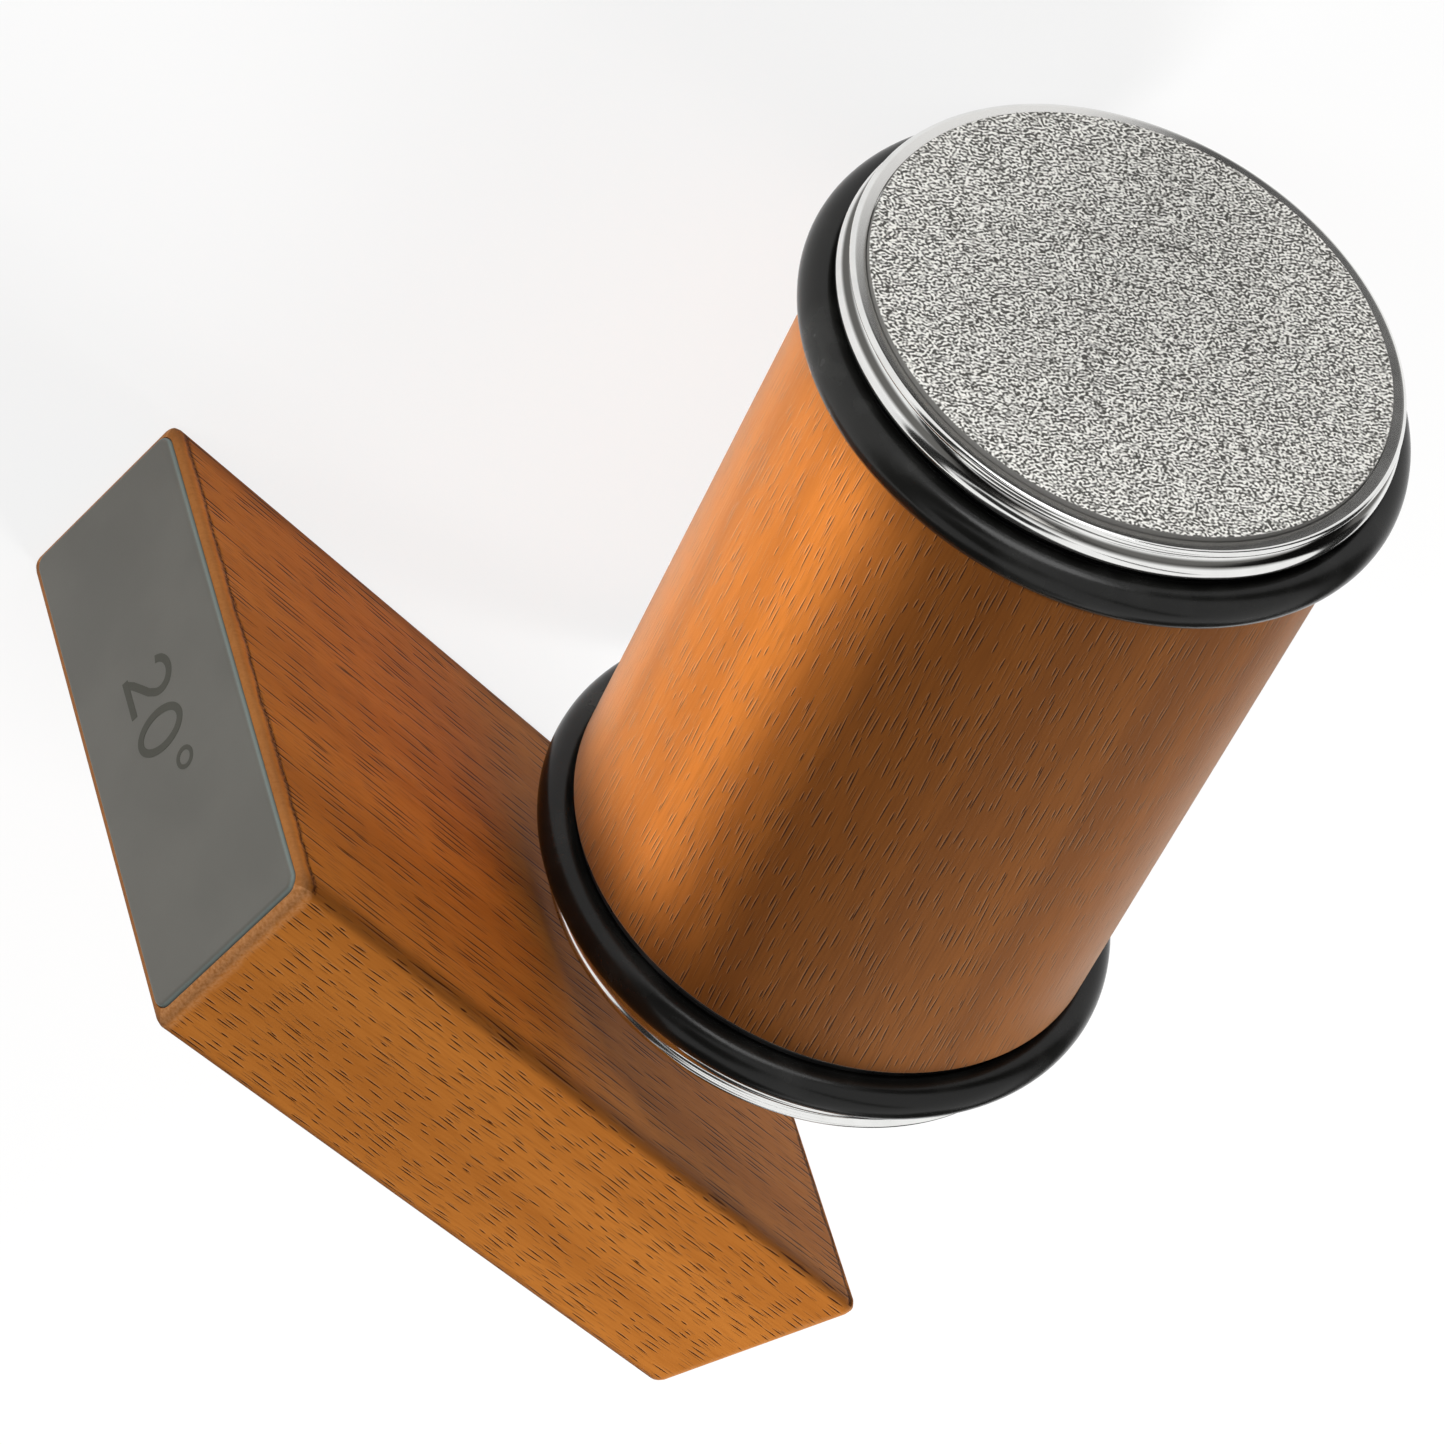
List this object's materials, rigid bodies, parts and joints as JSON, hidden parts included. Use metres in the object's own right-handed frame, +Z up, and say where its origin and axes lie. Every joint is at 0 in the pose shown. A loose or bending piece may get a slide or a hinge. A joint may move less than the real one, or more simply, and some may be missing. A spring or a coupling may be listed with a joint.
{
  "type": "rolling knife sharpener",
  "caption": "Rolling knife sharpener: wooden roller on rubber tyres with abrasive and honing end discs, and a wooden angle block with magnetic 15 and 20 degree faces.",
  "frame": {"origin": "middle of the long side face that the angle block lies on, on the table", "axes": "+Z up from the table; +X along the block towards its 15 degree end; +Y from the block's base towards its top, where the roller stands"},
  "size_m": [0.1083, 0.121, 0.0585],
  "materials": {
    "beech": "stained beech, satin oil, grain along the length",
    "grey_plate": "satin dark grey",
    "steel": "plain machined",
    "magnet": "nickel plated",
    "rubber": "matte",
    "aluminium": "turned",
    "cage_brass": "plain",
    "black_plastic": "semi-gloss moulded",
    "tyre_rubber": "smooth satin rubber",
    "chrome": "mirror polished",
    "abrasive": "fine diamond grit on a steel disc",
    "honing_steel": "fine turned grooves"
  },
  "bodies": {
    "angle_block": {"block_body": "beech", "plate_20": "grey_plate", "plate_15": "grey_plate", "keeper_bar_20": "steel", "keeper_bar_15": "steel", "magnet_20_1": "magnet", "magnet_20_2": "magnet", "magnet_20_3": "magnet", "magnet_20_4": "magnet", "magnet_15_1": "magnet", "magnet_15_2": "magnet", "magnet_15_3": "magnet", "magnet_15_4": "magnet", "base_pad_left": "rubber", "base_pad_right": "rubber"},
    "handle": {"wood_sleeve": "beech", "core_tube": "aluminium", "front_outer_race": "steel", "rear_outer_race": "steel", "front_circlip": "steel", "rear_circlip": "steel"},
    "wheelset": {"axle": "steel", "bearing_spacer": "steel", "front_inner_race": "steel", "rear_inner_race": "steel", "front_hub": "black_plastic", "rear_hub": "black_plastic", "front_tyre": "tyre_rubber", "rear_tyre": "tyre_rubber", "front_bezel": "chrome", "rear_bezel": "chrome", "front_disc": "abrasive", "rear_disc": "honing_steel", "front_hub_screw": "steel", "rear_hub_screw": "steel", "front_washer": "steel", "rear_washer": "steel"},
    "front_ball_set": {"front_ball_cage": "cage_brass"},
    "rear_ball_set": {"rear_ball_cage": "cage_brass"}
  },
  "joints": [
    {"name": "roll_travel", "type": "slide", "parent": "angle_block", "child": "handle", "axis": [0.7501, 0.6613, 0], "range_m": [0, 0.18]},
    {"name": "wheel_spin", "type": "hinge", "parent": "handle", "child": "wheelset", "pos_m": [-0.007, 0.06086, 0.02925], "axis": [-0.6613, 0.7501, 0], "range_deg": [-5, 360]},
    {"name": "front_cage_creep", "type": "hinge", "parent": "handle", "child": "front_ball_set", "pos_m": [-0.007, 0.06086, 0.02925], "axis": [-0.6613, 0.7501, 0], "range_deg": [-5, 140]},
    {"name": "rear_cage_creep", "type": "hinge", "parent": "handle", "child": "rear_ball_set", "pos_m": [-0.007, 0.06086, 0.02925], "axis": [-0.6613, 0.7501, 0], "range_deg": [-5, 140]}
  ],
  "couplings": [
    {"joint": "wheel_spin", "follows": "roll_travel", "rad_per_m": 34.188},
    {"joint": "front_cage_creep", "follows": "roll_travel", "rad_per_m": 12.821},
    {"joint": "rear_cage_creep", "follows": "roll_travel", "rad_per_m": 12.821}
  ]
}
